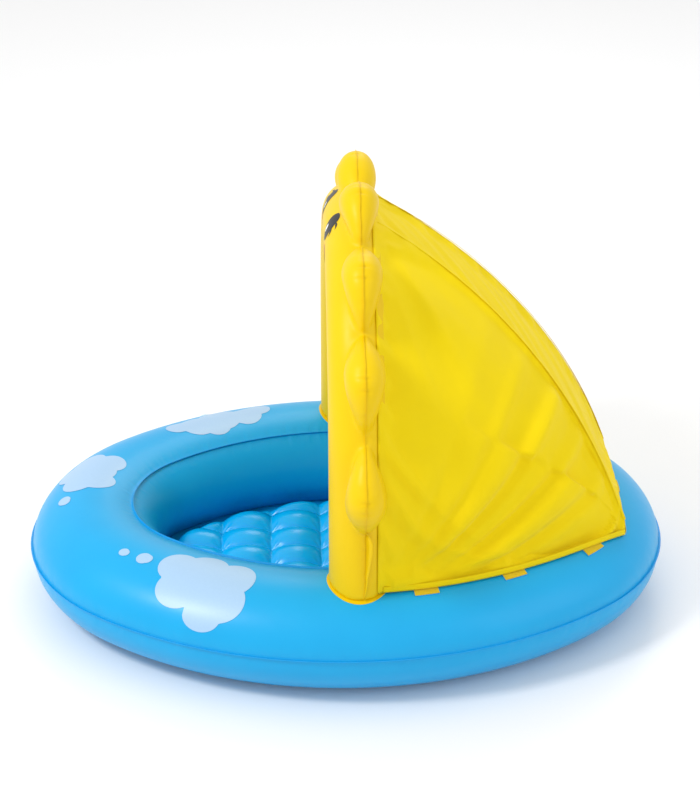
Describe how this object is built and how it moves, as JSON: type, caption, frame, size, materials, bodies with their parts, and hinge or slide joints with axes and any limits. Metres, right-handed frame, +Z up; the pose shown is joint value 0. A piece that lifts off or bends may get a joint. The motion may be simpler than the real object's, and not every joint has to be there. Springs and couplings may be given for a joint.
{
  "type": "inflatable paddling pool",
  "caption": "Oval inflatable baby paddling pool with a quilted air floor, a sun-shaped inflated arch with rays, and a cloth sunshade from the arch to the far end of the ring.",
  "frame": {"origin": "centre of the pool's footprint, on the ground", "axes": "+X from the open end to the shaded end, +Y across the pool, +Z up"},
  "size_m": [1.1492, 0.8892, 0.8129],
  "materials": {
    "ring_film": "soft PVC film, satin gloss, sky blue",
    "floor_film": "soft PVC film, satin gloss, sky blue",
    "seam_film": "welded PVC film flange",
    "arch_film": "soft PVC film, satin gloss, yellow",
    "sunshade_cloth": "thin woven polyester, matt, yellow",
    "rib_rod": "glass fibre rod",
    "hook_and_loop": "hook and loop tape",
    "valve_plastic": "soft translucent vinyl"
  },
  "bodies": {
    "pool": {"arch_valve_base": "valve_plastic", "floor_bottom_sheet": "floor_film", "floor_rim_weld": "seam_film", "floor_spot_welds": "seam_film", "floor_top_sheet": "floor_film", "floor_valve_base": "valve_plastic", "foot_patch_far": "arch_film", "foot_patch_near": "arch_film", "hem_hook_patches": "hook_and_loop", "rib_sleeve_far": "sunshade_cloth", "rib_sleeve_near": "sunshade_cloth", "ring_bottom_sheet": "ring_film", "ring_inner_seam": "seam_film", "ring_loop_patches": "hook_and_loop", "ring_outer_seam": "seam_film", "ring_top_sheet": "ring_film", "ring_valve_base": "valve_plastic", "sun_back_panel": "arch_film", "sun_front_panel": "arch_film", "sun_outline_seam": "arch_film", "sun_rays_far": "arch_film", "sun_rays_near": "arch_film", "sunshade_front_binding": "sunshade_cloth", "sunshade_rear_panel": "sunshade_cloth", "sunshade_rib_far": "rib_rod", "sunshade_rib_near": "rib_rod", "sunshade_side_far": "sunshade_cloth", "sunshade_side_near": "sunshade_cloth", "sunshade_top_panel": "sunshade_cloth"},
    "ring_valve_stem": {"ring_valve_stem": "valve_plastic", "ring_valve_flap": "valve_plastic"},
    "ring_valve_plug": {"ring_valve_plug": "valve_plastic"},
    "floor_valve_stem": {"floor_valve_stem": "valve_plastic", "floor_valve_flap": "valve_plastic"},
    "floor_valve_plug": {"floor_valve_plug": "valve_plastic"},
    "arch_valve_stem": {"arch_valve_stem": "valve_plastic", "arch_valve_flap": "valve_plastic"},
    "arch_valve_plug": {"arch_valve_plug": "valve_plastic"}
  },
  "joints": [
    {"name": "ring_valve_slide", "type": "slide", "parent": "pool", "child": "ring_valve_stem", "axis": [-0.2949, 0.6624, 0.6887], "range_m": [0, 0.01]},
    {"name": "ring_plug_hinge", "type": "hinge", "parent": "ring_valve_stem", "child": "ring_valve_plug", "pos_m": [-0.27212, 0.37001, 0.14423], "axis": [-0.9135, -0.4067, 0], "range_deg": [0, 150]},
    {"name": "floor_valve_slide", "type": "slide", "parent": "pool", "child": "floor_valve_stem", "axis": [0, 0, 1], "range_m": [0, 0.01]},
    {"name": "floor_plug_hinge", "type": "hinge", "parent": "floor_valve_stem", "child": "floor_valve_plug", "pos_m": [0.287, 0, 0.06955], "axis": [0, 1, 0], "range_deg": [0, 150]},
    {"name": "arch_valve_slide", "type": "slide", "parent": "pool", "child": "arch_valve_stem", "axis": [1, 0, 0], "range_m": [0, 0.01]},
    {"name": "arch_plug_hinge", "type": "hinge", "parent": "arch_valve_stem", "child": "arch_valve_plug", "pos_m": [0.06655, 0.31, 0.29], "axis": [0, 0, -1], "range_deg": [0, 150]}
  ]
}
